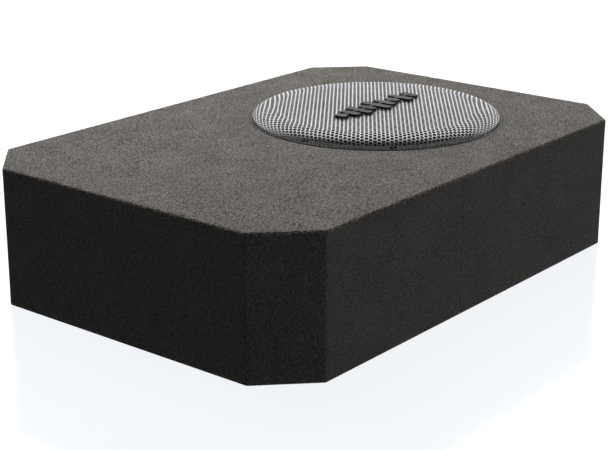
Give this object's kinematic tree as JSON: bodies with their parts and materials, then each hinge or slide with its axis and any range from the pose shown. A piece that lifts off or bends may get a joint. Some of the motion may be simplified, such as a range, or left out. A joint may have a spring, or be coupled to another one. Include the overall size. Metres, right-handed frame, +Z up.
{
  "type": "powered car subwoofer",
  "caption": "Flat eight-sided carpeted enclosure with an upward-firing bass driver under a domed perforated grille and an amplifier recessed in the rear wall.",
  "frame": {"origin": "centre of the box's outline, on the surface it stands on", "axes": "+X along the long side, towards the driver's end; +Y towards the rear wall with the amplifier panel; +Z up through the grille"},
  "size_m": [0.6, 0.42, 0.1595],
  "materials": {
    "car_carpet": "short-pile needle-punched carpet",
    "fibreboard": "sanded board",
    "acoustic_foam": "open-cell foam",
    "silver_mesh": "silver powder coat",
    "black_abs": "fine moulded texture",
    "badge_plastic": "satin moulded",
    "basket_paint": "black powder coat",
    "gasket_foam": "closed-cell foam",
    "surround_rubber": "moulded",
    "paper_cone": "pressed pulp",
    "spider_cloth": "resin-dipped weave",
    "former_aluminium": "rolled",
    "copper_wire": "enamelled copper winding",
    "plated_steel": "zinc plated",
    "ferrite": "ground",
    "black_screw": "black zinc",
    "amp_coat": "black powder coat",
    "bare_aluminium": "milled",
    "board_green": "solder mask",
    "capacitor_sleeve": "shrink sleeve",
    "knob_plastic": "moulded",
    "rca_white": "moulded",
    "rca_red": "moulded",
    "nickel": "nickel plated",
    "brass_contact": "stamped",
    "fuse_plastic": "moulded, tinted",
    "lamp_lens": "clear tinted",
    "lead_sheath": "insulated lead"
  },
  "bodies": {
    "box": {"top_baffle": "fibreboard", "bottom_panel": "fibreboard", "front_wall": "fibreboard", "rear_wall": "fibreboard", "left_wall": "fibreboard", "right_wall": "fibreboard", "corner_walls": "fibreboard", "centre_brace": "fibreboard", "damping_foam": "acoustic_foam", "carpet_top": "car_carpet", "carpet_side": "car_carpet", "carpet_bottom": "car_carpet", "grille_ring": "black_abs", "grille_mesh": "silver_mesh", "grille_badge": "badge_plastic", "woofer_basket": "basket_paint", "woofer_gasket": "gasket_foam", "woofer_screws": "black_screw", "surround": "surround_rubber", "spider": "spider_cloth", "top_plate": "plated_steel", "magnet": "ferrite", "pole_yoke": "plated_steel", "speaker_terminal": "black_abs", "tinsel_leads": "copper_wire", "speaker_leads": "lead_sheath", "amp_panel": "amp_coat", "amp_gasket": "gasket_foam", "amp_screws": "black_screw", "amp_case": "plated_steel", "case_screws": "plated_steel", "circuit_board": "board_green", "heat_spreader": "bare_aluminium", "transistors": "black_abs", "transistor_clamp": "plated_steel", "capacitors": "capacitor_sleeve", "choke_core": "ferrite", "choke_winding": "copper_wire", "pot_bodies": "plated_steel", "switch_housing": "plated_steel", "power_lamp": "lamp_lens", "rca_sleeves": "nickel", "rca_insert_left": "rca_white", "rca_insert_right": "rca_red", "speaker_level_socket": "black_abs", "socket_pins": "brass_contact", "terminal_strip": "black_abs", "terminal_plates": "brass_contact", "terminal_screws": "nickel", "fuse_holder": "black_abs"},
    "moving_cone": {"cone": "paper_cone", "dust_cap": "paper_cone", "coil_former": "former_aluminium", "voice_coil": "copper_wire"},
    "level_control": {"level_knob": "knob_plastic"},
    "crossover_control": {"crossover_knob": "knob_plastic"},
    "boost_control": {"boost_knob": "knob_plastic"},
    "phase_switch": {"phase_slider": "knob_plastic"},
    "first_fuse": {"fuse_1": "fuse_plastic"},
    "second_fuse": {"fuse_2": "fuse_plastic"}
  },
  "joints": [
    {"name": "cone_travel", "type": "slide", "parent": "box", "child": "moving_cone", "axis": [0, 0, 1], "range_m": [-0.007, 0.007], "stiffness_N_per_m": 5000, "deforming": ["surround", "spider", "tinsel_leads"]},
    {"name": "level_turn", "type": "hinge", "parent": "box", "child": "level_control", "pos_m": [-0.1, 0.198, 0.0915], "axis": [0, -1, 0], "range_deg": [-150, 150]},
    {"name": "crossover_turn", "type": "hinge", "parent": "box", "child": "crossover_control", "pos_m": [-0.125, 0.198, 0.0915], "axis": [0, -1, 0], "range_deg": [-150, 150]},
    {"name": "boost_turn", "type": "hinge", "parent": "box", "child": "boost_control", "pos_m": [-0.15, 0.198, 0.0915], "axis": [0, -1, 0], "range_deg": [-150, 150]},
    {"name": "phase_slide", "type": "slide", "parent": "box", "child": "phase_switch", "axis": [1, 0, 0], "range_m": [0, 0.004]},
    {"name": "fuse_1_pull", "type": "slide", "parent": "box", "child": "first_fuse", "axis": [0, 1, 0], "range_m": [0, 0.012]},
    {"name": "fuse_2_pull", "type": "slide", "parent": "box", "child": "second_fuse", "axis": [0, 1, 0], "range_m": [0, 0.012]}
  ]
}
